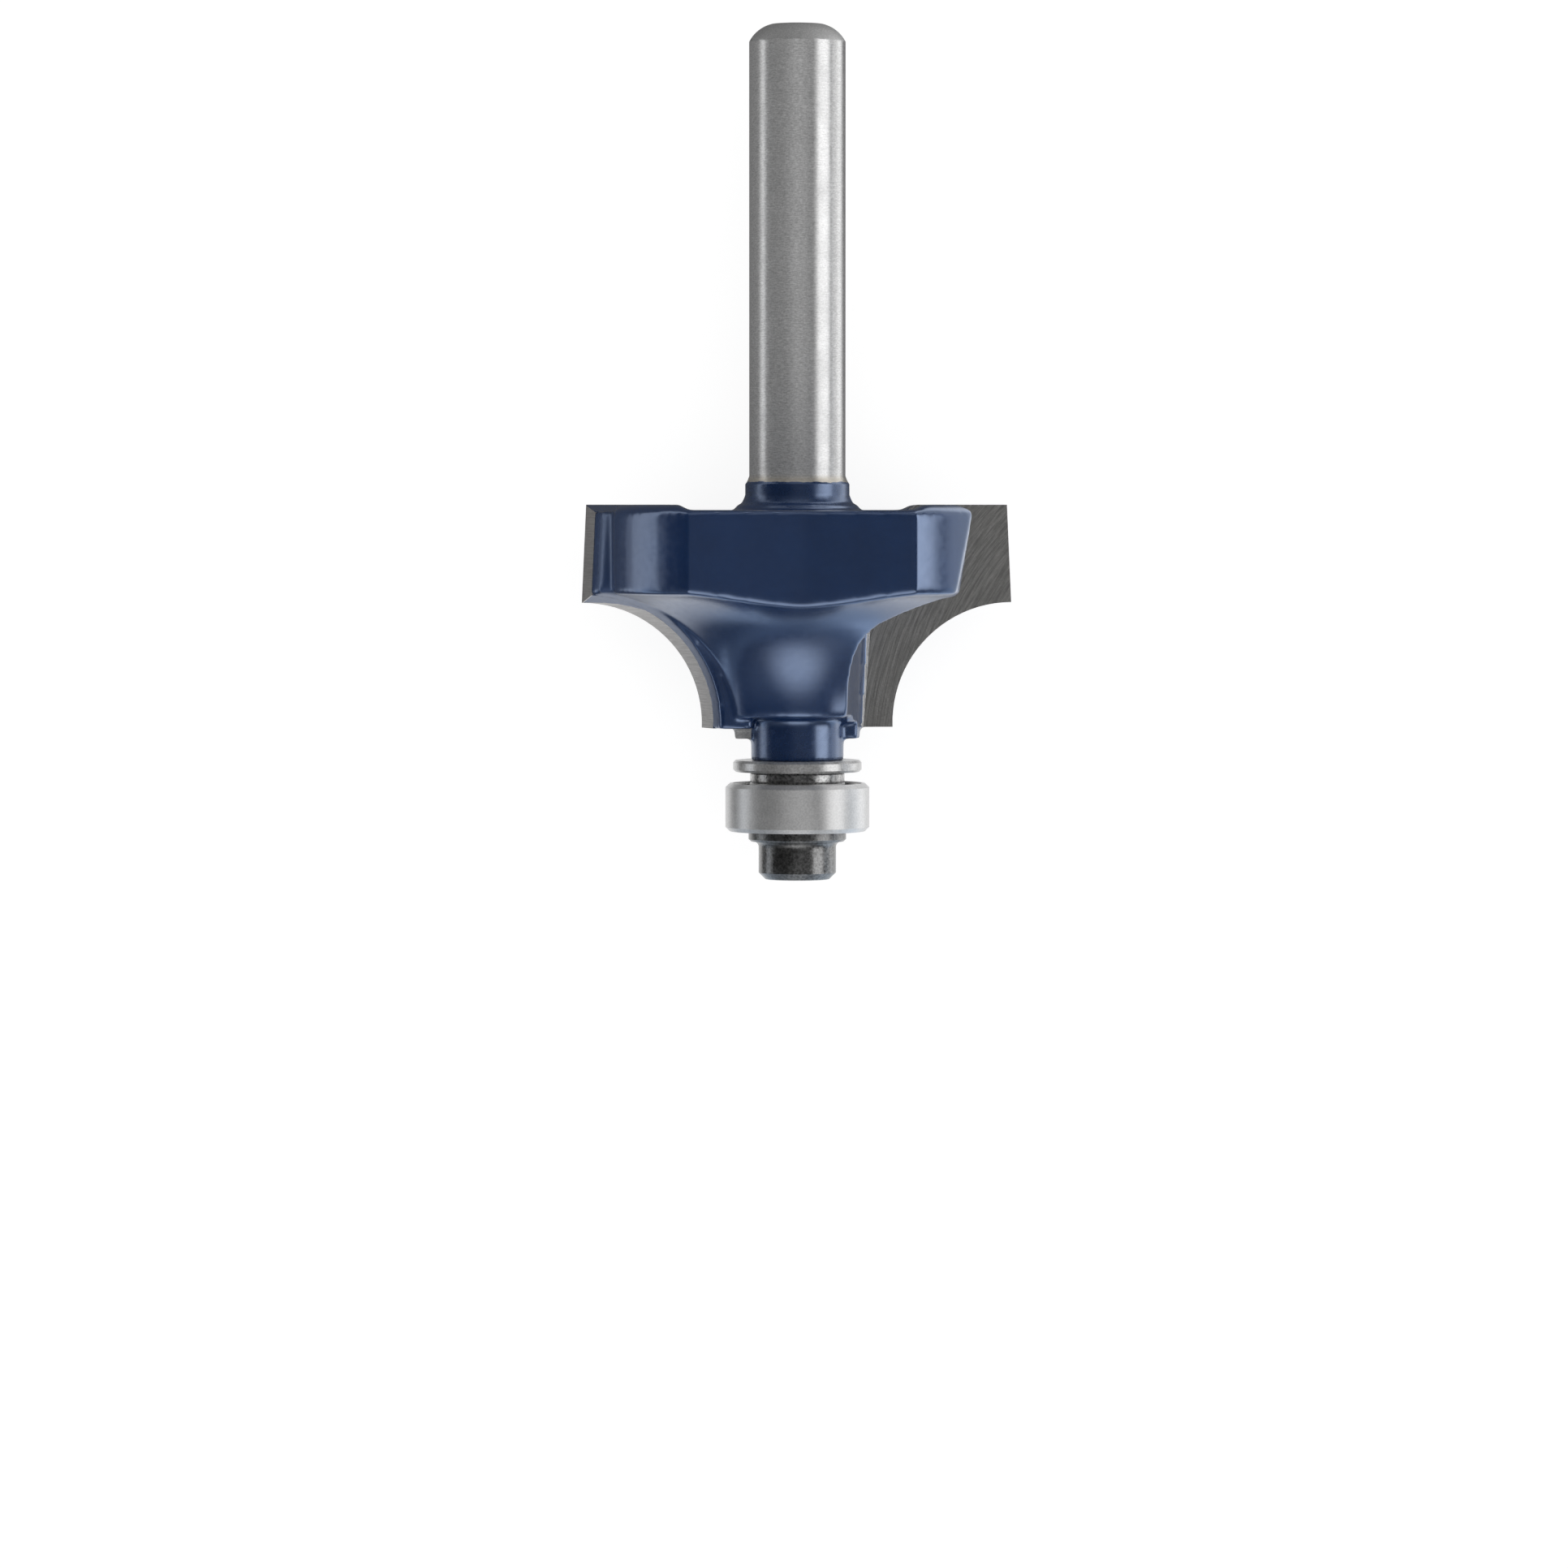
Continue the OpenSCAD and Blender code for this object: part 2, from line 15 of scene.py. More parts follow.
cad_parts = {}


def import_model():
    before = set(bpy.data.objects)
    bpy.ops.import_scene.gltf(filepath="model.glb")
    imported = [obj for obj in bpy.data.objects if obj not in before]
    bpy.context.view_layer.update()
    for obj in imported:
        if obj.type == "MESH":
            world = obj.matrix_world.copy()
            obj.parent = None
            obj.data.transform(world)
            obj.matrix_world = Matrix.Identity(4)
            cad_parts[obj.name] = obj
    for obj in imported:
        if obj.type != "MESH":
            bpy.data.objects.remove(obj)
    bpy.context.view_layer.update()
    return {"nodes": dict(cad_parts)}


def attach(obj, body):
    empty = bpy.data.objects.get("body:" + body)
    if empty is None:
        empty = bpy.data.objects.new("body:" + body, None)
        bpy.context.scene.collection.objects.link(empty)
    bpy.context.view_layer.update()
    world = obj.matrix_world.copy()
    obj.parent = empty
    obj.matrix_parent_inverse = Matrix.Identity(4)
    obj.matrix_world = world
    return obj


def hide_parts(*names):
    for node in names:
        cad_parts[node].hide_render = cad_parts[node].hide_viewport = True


MM = 0.001
MICRON = 0.000001
WHITE = (1, 1, 1, 1)

# Heights along the bit's axis are measured from the pilot screw's end, and the row frame's origin
# lies under the middle of the length: row = (x, height - HALF_LENGTH, AXIS_HEIGHT - y)
HALF_LENGTH = 28.1525
AXIS_HEIGHT = 11.3065

# Camera, from the photograph: distance from the axis, place across and along the bit, pitch, turn
CAMERA_DISTANCE = 440.0
CAMERA_ACROSS = -0.881
CAMERA_ALONG = 24.5
CAMERA_PITCH = math.radians(2.3716)
CAMERA_TURN = math.radians(1.4)
CAMERA_LENS = 152.94
SENSOR = 36.0
CAMERA_CLIP = (0.01, 20)  # metres

# Sizes of the CAD source that the looks follow. The channel is the tips' lower top face, given by
# its height and by how far from the axis it reaches
WING_TURN = 5.7
WING_COS = math.cos(math.radians(WING_TURN))
WING_SIN = math.sin(math.radians(WING_TURN))
TIP_Z = 10.035
TIP_T = 2.0
TIP_INNER_R = 4.43
TIP_LEAN_SLOPE = math.tan(math.radians(4.0))
COVE_CORNER_Z = 18.275
COVE_SLOPE = math.tan(math.radians(15.0))
EDGE_R = 14.29
EDGE_SLOPE = math.tan(math.radians(12.0))
TOP_Z = 24.725
TOP_SLOPE = 0.225
CHANNEL_Z = 24.375
CHANNEL_W = 7.4
STEM_R = 3.06

# Shank, collar and neck. The shank's last ring lies a gap below the chamfer, and the chamfer's crown
# ends a narrow flat ring outside the cap
SHANK_R = 3.175
SHANK_Z = 26.605
SHANK_STEPS = 60
SHANK_SIDES = 160
CHAMFER_H = 1.15
CHAMFER_W = 1.45
CHAMFER_GAP = 0.03
CROWN_R = 2.2
CROWN_STEPS = 10
CROWN_FLAT = 0.05
COLLAR_R = 3.42
COLLAR_TOP_Z = 26.075
COLLAR_Z = 25.375
COLLAR_STEPS = 6
NECK_R = 4.05
NECK_Z = 24.375
NECK_FLARE_R = 2.0
NECK_FLARE_STEPS = 10
# Rounded lip of the collar: its half height, depth, radius and steps
LIP = (0.04, 0.03, 0.1, 3)
# Bow from the collar to the shank: start inward of and above the collar, radius and steps
BOW = (0.05, 0.07, 1.2, 5)
# How far the turned neck goes into the coated body, and how far inside the shank's radius the
# inner ring of its hidden end lies
NECK_DEPTH = 1.2
NECK_CORE = 0.5
# Coat of the neck and collar: how far it stands out, the depth of its dents, the scale and share
# of each noise that makes them, and how far above the collar they end
NECK_COAT = 0.02
DENT = 0.012
DENT_NOISES = ((1.1, 1.0), (2.7, 0.5))
DENT_TOP = 0.05

# Coated body: voxel, weld, smoothing passes and their factor, gap round a tip, the cosine from
# which two normals are one face's, the angle of a sharp edge, and how far the shank reaches in
COAT_VOXEL = 0.157
WELD = 0.0005
COAT_SMOOTHING = 12
EXTRA_SMOOTHING = 34
SMOOTH_FACTOR = 0.5
TIP_GAP = 0.012
SAME_FACE = 0.98
SHARP_ANGLE = 35
SHANK_OVERLAP = 0.2

# Where the coat rounds less, by height. A reach is (full, none), here and below
FOOT_REACH = (10.7, 11.3)
FOOT_SHARE = 0.35
# Where it rounds more: never round a tip, but in the groove behind a wing, at a lobe's corner, at
# the upper and lower edges far from the axis, at the foot's shoulder and along the facets' edges.
# Places are (along the wing, behind its face)
TIP_ROOM_BACK = (-0.5, 3.0)
TIP_ROOM_OUT = 3.6
GROOVE = (12.8, 3.4)
GROOVE_REACH = (0.5, 0.9)
LOBE_CORNER = (9.8, -9.0)
LOBE_MIDDLE_Z = 22.0
LOBE_REACH = (0.7, 1.3)
LOBE_HEIGHT_REACH = (3.2, 3.8)
LOBE_SHARE = 0.5
LOBE_FOOT_Z = 19.1
EDGE_REACH = (0.45, 1.0)
EDGE_OUT_REACH = (8.6, 7.6)
EDGE_SHARE = 0.6
PEDESTAL_Z = 10.75
PEDESTAL_REACH = (0.35, 0.7)
PEDESTAL_OUT_REACH = (3.2, 3.6)
PEDESTAL_SHARE = 0.5
FACET_EDGES = ((7.02, -11.25), (9.27, 9.81))
FACET_REACH = (0.7, 1.5)

# Room cleared at the front of each foot: along the wing, behind its face, and height. The stem that
# is kept out of it reaches past it above and below
FOOT_ROOM = ((2.4, 4.8), (-3.4, -1.1), (9.0, 10.4))
ROOM_STEM_OVER = 0.1
ROOM_STEM_SIDES = 96

# Bare strip beside a tip, flattened: width inward and outward of the tip's edge, top, how far
# from the face a place still belongs to it, and how far it lies in front of the face
STRIP_IN = 0.2
STRIP_OUT = 0.3
STRIP_FLAT_TOP = 18.5
STRIP_REACH = 0.13
STRIP_DEPTH = 0.005

# Bare zones of the coat as (start, full): the strip beside a tip, the ground foot, the shank
STRIP_FRONT = (-0.05, -0.02)
STRIP_BACK = (0.5, 0.4)
STRIP_INNER = (3.95, 4.02)
STRIP_TOP = (18.6, 18.5)
FOOT_LOW = (TIP_Z - 0.02, TIP_Z - 0.06)
FOOT_FRONT = (-0.2, -0.1)
FOOT_INNER = (3.1, 3.2)
PAINT_LINE = 26.2
PAINT_LINE_ZONE = (PAINT_LINE - 0.015, PAINT_LINE + 0.015)
PAINT_LINE_WAVE = 0.07
WARM_ZONE = (PAINT_LINE + 0.6, PAINT_LINE + 0.1)
WARM_SHARE = 0.55
CHAMFER_Z = 2 * HALF_LENGTH - CHAMFER_H
CHAMFER_ZONE = (CHAMFER_Z - 0.02, CHAMFER_Z + 0.02)
CHAMFER_WAVE = 0.05

# Paint: the colours it varies between, roughness with what the orange peel changes in it and what
# the neck, the stem and the groove add, refraction, tint of its gloss (0 to 1), bump, and how much
# the fine grain adds to the bump
PAINT_DEEP = (12, 38, 77)
PAINT_LIGHT = (14, 43, 85)
PAINT_FINE = (0.9, 1.1)
PAINT_ROUGH = (0.2, 0.25)
NECK_ZONE = (NECK_Z + 0.1, NECK_Z + 0.6)
NECK_ROUGH = 0.06
STEM_ZONE = (TIP_Z + 0.2, TIP_Z - 0.2)
STEM_ROUGH = 0.04
GROOVE_OUT_ZONE = (GROOVE[0] - 0.7, GROOVE[0] - 0.4)
GROOVE_BACK_ZONE = (0.9, 0.5)
GROOVE_ROUGH = 0.16
PAINT_IOR = 2.4
PAINT_GLOSS = (0.58, 0.72, 1.0, 1.0)
PAINT_BUMP = 2.0
PAINT_FINE_BUMP = 0.12

# Ground steel of the shank, and the matt steel of its chamfer and the bare strips. Stretches give
# the noise's scale across, along and across the bit; shares of metal leave some matt grey
SHANK_LEVEL = 211
SHANK_SHARE = 0.6
SHANK_ROUGH = (0.33, 0.4)
SHANK_CLOUDS = (0.35, 0.7)
SHANK_STREAK_ROUGH = 0.05
SHANK_STREAKS = (0.8, 1.14)
SHANK_GRAIN = (0.88, 1.1)
SHANK_RINGS = (0.95, 1.05)
SHANK_MARKS = 1.3
SHANK_BUMP = 2.2
RING_STRETCH = (0.25, 22.0, 0.25)
STREAK_STRETCH = (3.5, 15.0, 3.5)
WARM_STEEL = (196, 186, 166)
RING_SPREAD = 0.9
QUARTER_TURN = 0.25
METAL_SHARE = 0.72
MATT_LEVEL = 188
MATT_GRAIN = (0.85, 1.15)
MATT_ROUGH = 0.6
MATT_BUMP = 2.0

# Carbide: the levels of its face and reliefs, and the middle of the arcs that the wheel ground. The
# reliefs' level is lighter than the face's as painted light, which makes up for the dim floor they
# mirror
CARBIDE_FACE = (172, 171, 169)
CARBIDE_SIDE_PAINTED_LIGHT = (197, 195, 194)
FACE_ZONE = (0.05, 0.02)
GRIND_AT = (31.8, 6.9)
GRIND_DRIFT = 0.08
GRIND_COARSE = 0.55
GRIND_FINE = 0.45
GRIND_REACH = (0.36, 0.64)
GRIND_LEVELS = (0.74, 1.26)
LINE_STRETCH = (0.5, 14.0, 0.5)
LINE_LEVELS = (0.86, 1.14)
CARBIDE_GRAIN = (0.93, 1.07)
CARBIDE_ROUGH = (0.38, 0.5)
CARBIDE_BUMP = 1.5
# Painted zones of the carbide: its top, the body's channel, and under the cove the part that the
# grinding of the edge left, which grows narrower towards the edge
PAINTED_TOP = (TOP_Z - 0.05, TOP_Z - 0.02)
PAINTED_CHANNEL = (CHANNEL_Z - 0.04, CHANNEL_Z - 0.02)
PAINTED_CHANNEL_OUT = (CHANNEL_W + 0.2, CHANNEL_W)
PAINTED_BACK = (0.05, 0.09)
PAINTED_EDGE = (EDGE_R - 0.08, EDGE_R - 0.12)
PAINTED_UNDER = (COVE_CORNER_Z + 0.05, COVE_CORNER_Z + 0.02)
PAINTED_COVE = (0.0, 0.03)
BARE_RUN = 4.0
BARE_POWER = 1.4
BARE_WAVE = 0.05

# Other metals, by the start of their nodes' names: grey level, roughness, spread of the clouds of
# wear, the grain's scale, levels and bump in micrometres, and where needed the share of coarse
# pits, the anisotropy, the share of metal and a tint. The longest start that fits a name counts
METALS = {
    "shield_washer": dict(name="washer_steel", level=190, roughness=0.38, spread=0.05,
                          grain_scale=7.0, grain=(0.78, 1.18), bump=4.0),
    "spacer_ring": dict(name="spacer_steel", level=176, roughness=0.34, spread=0.06,
                        grain_scale=5.0, grain=(0.45, 1.45), bump=10.0, coarse=1.0, share=0.9),
    "bearing": dict(name="bearing_steel", level=214, roughness=0.5, spread=0.03,
                    grain_scale=8.0, grain=(0.88, 1.1), bump=1.4, streak=0.84),
    "bearing_cage": dict(name="cage_brass", level=170, roughness=0.35, tint=(1.0, 0.85, 0.5)),
    "ball": dict(name="ball_steel", level=190, roughness=0.08, spread=0.02, grain=(0.96, 1.04),
                 bump=0.2),
    "shield": dict(name="shield_steel", level=165, roughness=0.3),
    "snap_ring": dict(name="snap_steel", level=150, roughness=0.3),
    "pilot_screw": dict(name="black_oxide", level=116, roughness=0.35, spread=0.06,
                        grain_scale=6.0, grain=(0.6, 1.4), bump=5.0, coarse=0.7, streak=0.6,
                        share=0.98),
}
LATHE_STRETCH = (0.3, 16.0, 0.3)
LATHE_RINGS = 0.3
CLOUD_SPREAD = 2
PIT_SCALE = 0.45

# The range that a noise mostly stays in, and the wider one for wavy lines
NOISE_REACH = (0.3, 0.7)
WAVE_REACH = (0.25, 0.75)

# Floor: half its width, its glow and its matt white as the camera sees them, then how bright metal
# and paint mirror it, with zones (start, full) across and along the bit, all in metres. What metal
# and paint mirror is painted light and shade: glowing patches are painted highlights' sources, the
# dim level between them is painted shade, and a blue tint in front colours these painted reflections
FLOOR_HALF = 3.0
FLOOR_GLOW = 0.84
FLOOR_MATT = 0.3
FLOOR_DIM = 0.15
FLOOR_LEFT = 1.3
FLOOR_LEFT_ACROSS = (-0.056, -0.074)
FLOOR_LEFT_ALONG = (-0.08, -0.05)
FLOOR_PILOT_ACROSS = (-0.038, -0.05)
FLOOR_PILOT_ALONG = (-0.014, -0.019)
FLOOR_RIGHT = 1.0
FLOOR_RIGHT_ACROSS = (0.012, 0.02)
FLOOR_RIGHT_ALONG = (-0.09, -0.06)
FLOOR_PATCH = 0.8
FLOOR_PATCH_INNER = (0.012, 0.022)
FLOOR_PATCH_OUTER = (0.045, 0.03)
FLOOR_FRONT = 1.15
FLOOR_FRONT_ACROSS = (-0.022, -0.012)
FLOOR_FRONT_ALONG = (-0.01, -0.02)
FLOOR_FRONT_NEAR = (-0.13, -0.05)
FLOOR_FRONT_FAR = 0.4
FLOOR_TINT = (0.76, 0.87, 1.0, 1.0)
FLOOR_TINT_ALONG = (-0.028, -0.04)

# World: the even light on matt colours, and what metal and paint mirror. Each soft box is from and
# to across the view, its soft edge, from and to along the bit, its soft edge, and brightness.
# Angles are from straight above, positive to the right and to the shank. The front light is round:
# its middle's angle from straight above towards the pilot, and how far from its middle it starts
# and is full
WORLD_LEVEL = 0.55
GLOSS_LEVEL = 0.03
SOFT_BOXES = [
    (47, 82, 5, -18, 34, 13, 2.7),
    (-92, -87.5, 2, -24, 32, 14, 2.2),
    (-12, 30, 8, -30, 50, 14, 0.09),
    (-40, 40, 20, 52, 85, 14, 0.5),
    (-80, 110, 25, -85, -22, 18, 0.2),
    (60, 100, 15, -85, -60, 12, 0.2),
]
FRONT_ANGLE = math.radians(55)
FRONT_LIMITS = (36, 5)
FRONT_RADIANCE = 1.7

# Overhead lamp, for matt colours and the shadow only, in metres
LAMP_SIZE = 1.2
LAMP_RADIANCE = 1.2
LAMP_PLACE = (0.1, 0.1, 1.5)


def add_object(name, data):
    made = bpy.data.objects.new(name, data)
    bpy.context.scene.collection.objects.link(made)
    return made


def row_point(x, y, height):
    """A point of the upright bit, in millimetres, in the row frame, in metres."""
    return Vector((x, height - HALF_LENGTH, AXIS_HEIGHT - y)) * MM


def turned(x, y):
    """A direction or place across the bit as the camera sees it, in the part's own frame."""
    c, s = math.cos(CAMERA_TURN), math.sin(CAMERA_TURN)
    return x * c + y * s, -x * s + y * c


def make_camera():
    data = bpy.data.cameras.new("camera")
    data.lens = CAMERA_LENS
    data.sensor_width = SENSOR
    data.clip_start, data.clip_end = CAMERA_CLIP
    camera = add_object("camera", data)
    place = row_point(*turned(CAMERA_ACROSS, -CAMERA_DISTANCE), CAMERA_ALONG)
    x, y = turned(0, math.cos(CAMERA_PITCH))
    forward = Vector((x, -math.sin(CAMERA_PITCH), -y)).normalized()
    right = forward.cross(Vector((0, 1, 0))).normalized()
    axes = Matrix((right, right.cross(forward), -forward)).transposed()
    camera.matrix_world = Matrix.Translation(place) @ axes.to_4x4()
    bpy.context.scene.camera = camera


class Nodes:
    """Short calls for a material's nodes. Places are in millimetres, in the upright bit's frame."""

    def __init__(self, name, world=None):
        self.owner = world or bpy.data.materials.new(name)
        self.owner.use_nodes = True
        self.tree = self.owner.node_tree
        self.tree.nodes.clear()
        kind = "ShaderNodeOutputWorld" if world else "ShaderNodeOutputMaterial"
        self.output = self.tree.nodes.new(kind)
        self.spot = None

    def new(self, kind, settings=None, **inputs):
        made = self.tree.nodes.new(kind)
        for key, value in (settings or {}).items():
            setattr(made, key, value)
        for key, value in inputs.items():
            self.feed(made, key.replace("_", " "), value)
        return made

    def feed(self, made, key, value):
        socket = made.inputs[key]
        if isinstance(value, bpy.types.NodeSocket):
            self.tree.links.new(value, socket)
        else:
            socket.default_value = value

    def fed(self, kind, settings, *values):
        """A node with its first inputs fed in their order."""
        made = self.new(kind, settings)
        for i, value in enumerate(values):
            self.feed(made, i, value)
        return made

    def maths(self, operation, *values):
        return self.fed("ShaderNodeMath", {"operation": operation}, *values).outputs[0]

    def chain(self, operation, first, *others):
        for other in others:
            first = self.maths(operation, first, other)
        return first

    def add(self, *values):
        return self.chain("ADD", *values)

    def times(self, *values):
        return self.chain("MULTIPLY", *values)

    def most(self, *values):
        return self.chain("MAXIMUM", *values)

    def vector(self, operation, *values):
        return self.fed("ShaderNodeVectorMath", {"operation": operation}, *values).outputs[0]

    def place(self):
        """The surface's place: as a vector, then across, along and away from the viewer."""
        if self.spot is None:
            coords = self.new("ShaderNodeTexCoord").outputs["Object"]
            spot = self.vector("MULTIPLY_ADD", coords, (1 / MM, 1 / MM, -1 / MM),
                               (0, HALF_LENGTH, AXIS_HEIGHT))
            self.spot = (spot, *self.new("ShaderNodeSeparateXYZ", Vector=spot).outputs)
        return self.spot

    def wing_place(self):
        """Along the wing, and behind the cutting face, for whichever wing is nearer."""
        _, x, _, y = self.place()
        out = self.add(self.times(x, WING_COS), self.times(y, WING_SIN))
        back = self.maths("SUBTRACT", self.times(y, WING_COS), self.times(x, WING_SIN))
        return self.maths("ABSOLUTE", out), self.times(back, self.maths("SIGN", out))

    def noise(self, vector, scale, detail=2.0, roughness=0.5, stretch=None):
        if stretch:
            vector = self.vector("MULTIPLY", vector, stretch)
        return self.new("ShaderNodeTexNoise", {"noise_dimensions": "3D"}, Vector=vector,
                        Scale=scale, Detail=detail, Roughness=roughness).outputs[0]

    def band(self, value, low, high, out_low=0.0, out_high=1.0):
        """Maps a value smoothly from low..high to out_low..out_high, and holds it outside."""
        return self.new("ShaderNodeMapRange", {"interpolation_type": "SMOOTHSTEP"}, Value=value,
                        From_Min=low, From_Max=high, To_Min=out_low, To_Max=out_high).outputs[0]

    def over(self, pattern, low, high):
        """A noise, spread over low..high."""
        return self.band(pattern, *NOISE_REACH, low, high)

    def wave(self, value, scale, size):
        """A value that a noise moves up and down by a size."""
        pattern = self.noise(self.place()[0], scale)
        return self.add(value, self.band(pattern, *WAVE_REACH, -size, size))

    def zone(self, *limits):
        """1 where each value is past its pair (start, full), 0 where one is short of its start."""
        return self.times(*(self.band(value, *pair) for value, pair in limits))

    def mix(self, share, a, b):
        """A mix of two colours."""
        made = self.new("ShaderNodeMix", {"data_type": "RGBA"})
        for i, value in ((0, share), (6, a), (7, b)):
            self.feed(made, i, value)
        return made.outputs[2]

    def scaled(self, colour, factor):
        """A colour, as three numbers or a socket, times a factor."""
        made = self.fed("ShaderNodeVectorMath", {"operation": "SCALE"}, colour)
        self.feed(made, "Scale", factor)
        return made.outputs[0]

    def relief(self, height, depth):
        """A bump with a depth in micrometres."""
        return self.new("ShaderNodeBump", Height=height, Distance=depth * MICRON).outputs[0]

    def principled(self, **inputs):
        return self.new("ShaderNodeBsdfPrincipled", **inputs).outputs[0]

    def mixed(self, share, a, b):
        """A mix of two shaders."""
        return self.fed("ShaderNodeMixShader", {}, share, a, b).outputs[0]

    def finish(self, shader):
        self.tree.links.new(shader, self.output.inputs["Surface"])
        return self.owner


def srgb(*levels):
    """A colour as the photograph shows it, 0 to 255, in Blender's linear values."""
    shares = [level / 255 for level in levels]
    return tuple(v / 12.92 if v <= 0.04045 else ((v + 0.055) / 1.055) ** 2.4 for v in shares)


def grey(level):
    return srgb(level, level, level)


def turned_metal(nodes, colour, roughness, normal, spread, share):
    """Metal turned or ground about the axis: its rings of scratches spread a light along it."""
    tangent = nodes.new("ShaderNodeTangent", {"direction_type": "RADIAL", "axis": "Y"}).outputs[0]
    return nodes.principled(Base_Color=colour, Metallic=share, Roughness=roughness, Normal=normal,
                            Anisotropic=spread, Anisotropic_Rotation=QUARTER_TURN, Tangent=tangent)


def ground_steel(nodes, warm):
    """Round-ground steel: rings of scratches, short streaks, specks, clouds and a warm stain."""
    spot = nodes.place()[0]
    rings = nodes.noise(spot, scale=1.0, detail=3.0, roughness=0.7, stretch=RING_STRETCH)
    streaks = nodes.noise(spot, scale=1.0, detail=3.0, roughness=0.65, stretch=STREAK_STRETCH)
    grain = nodes.noise(spot, scale=9.0, detail=3.0, roughness=0.6)
    clouds = nodes.noise(spot, scale=0.45, detail=3.0, roughness=0.55)
    colour = nodes.scaled(grey(SHANK_LEVEL), nodes.over(streaks, *SHANK_STREAKS))
    colour = nodes.scaled(colour, nodes.over(grain, *SHANK_GRAIN))
    colour = nodes.scaled(colour, nodes.over(rings, *SHANK_RINGS))
    colour = nodes.mix(warm, colour, (*srgb(*WARM_STEEL), 1))
    rough = nodes.add(nodes.band(clouds, *SHANK_CLOUDS, *SHANK_ROUGH),
                      nodes.over(streaks, -SHANK_STREAK_ROUGH, SHANK_STREAK_ROUGH))
    marks = nodes.add(rings, nodes.times(nodes.add(grain, streaks), SHANK_MARKS))
    bump = nodes.relief(marks, SHANK_BUMP)
    return turned_metal(nodes, colour, rough, bump, RING_SPREAD, SHANK_SHARE)


def matt_steel(nodes):
    """Matt steel with a fine grain, for the chamfer, the bare strips and the ground feet."""
    fine = nodes.noise(nodes.place()[0], scale=12.0, roughness=0.6)
    colour = nodes.scaled(grey(MATT_LEVEL), nodes.over(fine, *MATT_GRAIN))
    return nodes.principled(Base_Color=colour, Metallic=METAL_SHARE, Roughness=MATT_ROUGH,
                            Normal=nodes.relief(fine, MATT_BUMP))


def blue_paint(nodes):
    """Thick glossy blue paint with a slight orange peel and uneven depth."""
    spot, _, height, _ = nodes.place()
    out, back = nodes.wing_place()
    clouds = nodes.noise(spot, scale=0.3, detail=3.0)
    peel = nodes.noise(spot, scale=2.4)
    fine = nodes.noise(spot, scale=11.0, detail=1.0)
    deep, light = (*srgb(*PAINT_DEEP), 1), (*srgb(*PAINT_LIGHT), 1)
    colour = nodes.mix(nodes.over(clouds, 0, 1), deep, light)
    colour = nodes.scaled(colour, nodes.over(fine, *PAINT_FINE))
    off_groove = nodes.maths("ABSOLUTE", nodes.maths("SUBTRACT", back, GROOVE[1]))
    groove = nodes.zone((out, GROOVE_OUT_ZONE), (off_groove, GROOVE_BACK_ZONE))
    rough = nodes.add(nodes.over(peel, *PAINT_ROUGH),
                      nodes.times(nodes.zone((height, NECK_ZONE)), NECK_ROUGH),
                      nodes.times(nodes.zone((height, STEM_ZONE)), STEM_ROUGH),
                      nodes.times(groove, GROOVE_ROUGH))
    bump = nodes.relief(nodes.add(peel, nodes.times(fine, PAINT_FINE_BUMP)), PAINT_BUMP)
    return nodes.principled(Base_Color=colour, Metallic=0.0, Roughness=rough, Normal=bump,
                            IOR=PAINT_IOR, Specular_Tint=PAINT_GLOSS)


def make_blue_coat():
    """Paint, with bare steel on the shank, on the strip beside each tip and on the ground feet."""
    nodes = Nodes("blue_coat")
    _, _, height, _ = nodes.place()
    out, back = nodes.wing_place()
    shank = nodes.zone((nodes.wave(height, 0.9, PAINT_LINE_WAVE), PAINT_LINE_ZONE))
    strip = nodes.zone((back, STRIP_FRONT), (out, STRIP_INNER), (back, STRIP_BACK),
                       (height, STRIP_TOP))
    foot = nodes.zone((height, FOOT_LOW), (back, FOOT_FRONT), (out, FOOT_INNER))
    end = nodes.zone((nodes.wave(height, 1.6, CHAMFER_WAVE), CHAMFER_ZONE))
    warm = nodes.times(nodes.zone((height, WARM_ZONE)), WARM_SHARE, shank)
    steel = nodes.mixed(nodes.most(end, strip, foot), ground_steel(nodes, warm), matt_steel(nodes))
    return nodes.finish(nodes.mixed(nodes.most(shank, strip, foot), blue_paint(nodes), steel))


